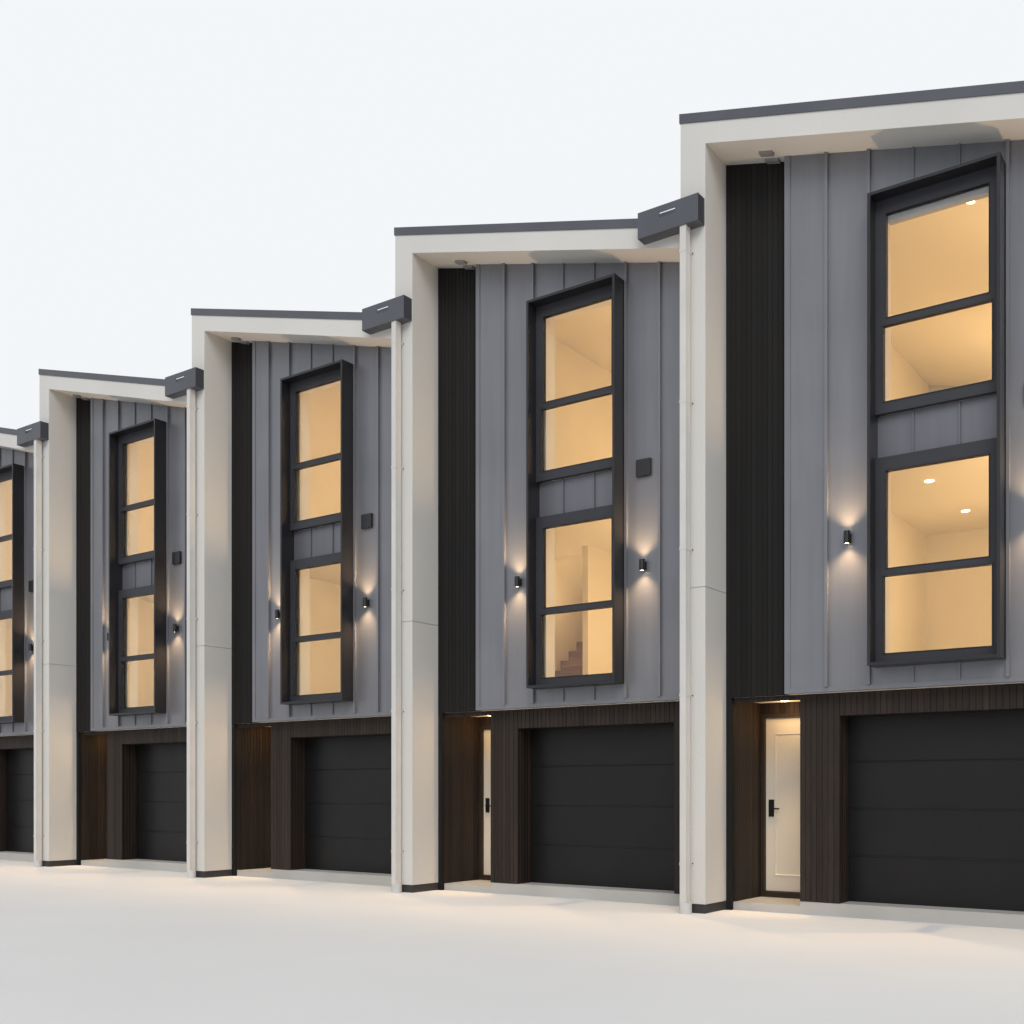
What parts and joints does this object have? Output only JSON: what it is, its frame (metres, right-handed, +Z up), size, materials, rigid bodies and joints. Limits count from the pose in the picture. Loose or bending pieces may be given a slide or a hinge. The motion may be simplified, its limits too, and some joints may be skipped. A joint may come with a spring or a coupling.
{
  "type": "terraced house row",
  "caption": "Row of three-storey terraced houses with saw-tooth roofs, tray metal cladding, tall hooded windows, sectional garage doors and recessed front doors.",
  "frame": {"origin": "centre of the bounding box on the ground", "axes": "+X along the row towards the low roof ends, -Y out of the front, +Z up"},
  "size_m": [22.744, 9.7838, 9.4032],
  "materials": {
    "pale_panel": "matte",
    "party_render": "matte",
    "concrete": "matte",
    "dark_base": "matte",
    "plaster": "matte",
    "soffit_board": "satin",
    "tray_metal": "satin",
    "roof_metal": "satin",
    "dark_metal": "satin",
    "slate_metal": "satin",
    "fitting_grey": "satin",
    "black_frame": "matte",
    "black_metal": "satin",
    "pipe_paint": "satin",
    "black_timber": "satin",
    "brown_timber": "satin",
    "door_paint": "satin",
    "hinge_steel": "satin",
    "clear_glass": "gloss",
    "lens": "gloss",
    "shoe_plastic": "matte",
    "blind_fabric": "matte",
    "floor_timber": "satin"
  },
  "bodies": {
    "house_row": {"ground_slabs": "concrete", "party_walls": "party_render", "fins": "pale_panel", "fin_plinths": "dark_base", "portal_beams": "pale_panel", "roof_decks": "plaster", "box_gutters": "dark_metal", "roof_sheets": "roof_metal", "roof_caps": "dark_metal", "rain_heads": "dark_metal", "downpipes": "pipe_paint", "pipe_clips": "pipe_paint", "pipe_shoes": "shoe_plastic", "front_walls": "plaster", "cladding": "tray_metal", "spandrels": "slate_metal", "cladding_flashings": "tray_metal", "black_panels": "black_timber", "window_hoods": "black_metal", "window_frames": "black_frame", "window_glass": "clear_glass", "blind_cassette": "blind_fabric", "first_floors": "plaster", "second_floors": "plaster", "rear_walls": "party_render", "entry_walls": "plaster", "entry_linings": "brown_timber", "entry_soffits": "soffit_board", "entry_transoms": "brown_timber", "door_frames": "black_metal", "thresholds": "dark_metal", "garage_portals": "brown_timber", "garage_doors": "black_metal", "wall_lights": "black_metal", "lamp_lenses": "lens", "wall_vents": "black_metal", "downlights": "lens", "door_hinges": "hinge_steel", "stair_steps": "floor_timber", "room_walls": "plaster", "soffit_fittings": "fitting_grey"},
    "front_door_1": {"door_leaf_1": "door_paint", "door_hardware_1": "black_metal"},
    "front_door_2": {"door_leaf_2": "door_paint", "door_hardware_2": "black_metal"},
    "front_door_3": {"door_leaf_3": "door_paint", "door_hardware_3": "black_metal"},
    "front_door_4": {"door_leaf_4": "door_paint", "door_hardware_4": "black_metal"},
    "front_door_5": {"door_leaf_5": "door_paint", "door_hardware_5": "black_metal"}
  },
  "joints": [
    {"name": "door_swing_1", "type": "hinge", "parent": "house_row", "child": "front_door_1", "pos_m": [7.777, -3.169, 1.23], "axis": [0, 0, -1], "range_deg": [0, 95]},
    {"name": "door_swing_2", "type": "hinge", "parent": "house_row", "child": "front_door_2", "pos_m": [3.297, -3.169, 1.23], "axis": [0, 0, -1], "range_deg": [0, 95]},
    {"name": "door_swing_3", "type": "hinge", "parent": "house_row", "child": "front_door_3", "pos_m": [-1.183, -3.169, 1.23], "axis": [0, 0, -1], "range_deg": [0, 95]},
    {"name": "door_swing_4", "type": "hinge", "parent": "house_row", "child": "front_door_4", "pos_m": [-5.663, -3.169, 1.23], "axis": [0, 0, -1], "range_deg": [0, 95]},
    {"name": "door_swing_5", "type": "hinge", "parent": "house_row", "child": "front_door_5", "pos_m": [-10.143, -3.169, 1.23], "axis": [0, 0, -1], "range_deg": [0, 95]}
  ]
}
